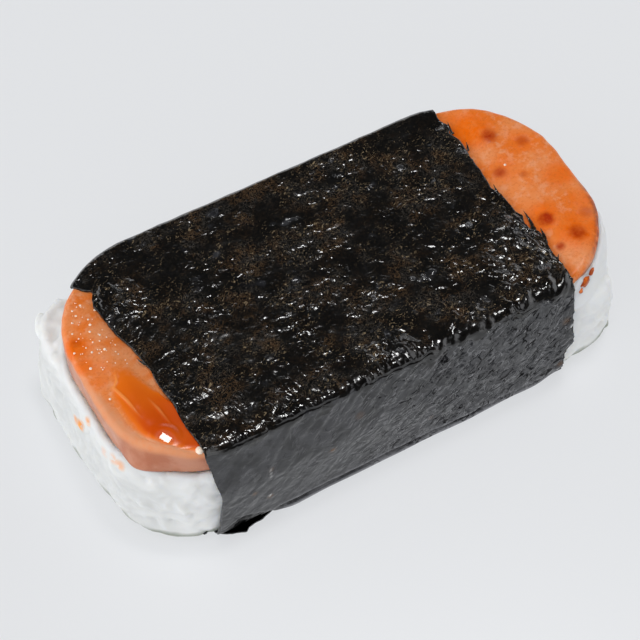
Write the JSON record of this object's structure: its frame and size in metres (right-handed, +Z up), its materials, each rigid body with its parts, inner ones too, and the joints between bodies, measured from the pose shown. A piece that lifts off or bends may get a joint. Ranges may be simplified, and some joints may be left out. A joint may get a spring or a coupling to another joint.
{
  "type": "luncheon meat musubi",
  "caption": "Block of pressed rice topped with a fried slice of luncheon meat and wrapped in a wide band of dried seaweed; lies flat, as served.",
  "frame": {"origin": "centre of the whole's bounding box, at its bottom, where the seaweed rests on the table", "axes": "+X along the block, -Y the long side that faces the viewer, +Z up through rice and meat"},
  "size_m": [0.0985, 0.0504, 0.0248],
  "materials": {
    "rice": "moist pressed cooked rice",
    "luncheon_meat": "fried and glazed, moist",
    "nori_band": "glossy crinkled dried seaweed"
  },
  "bodies": {
    "root": {"rice": "rice", "luncheon_meat": "luncheon_meat", "nori_band": "nori_band"}
  },
  "joints": []
}
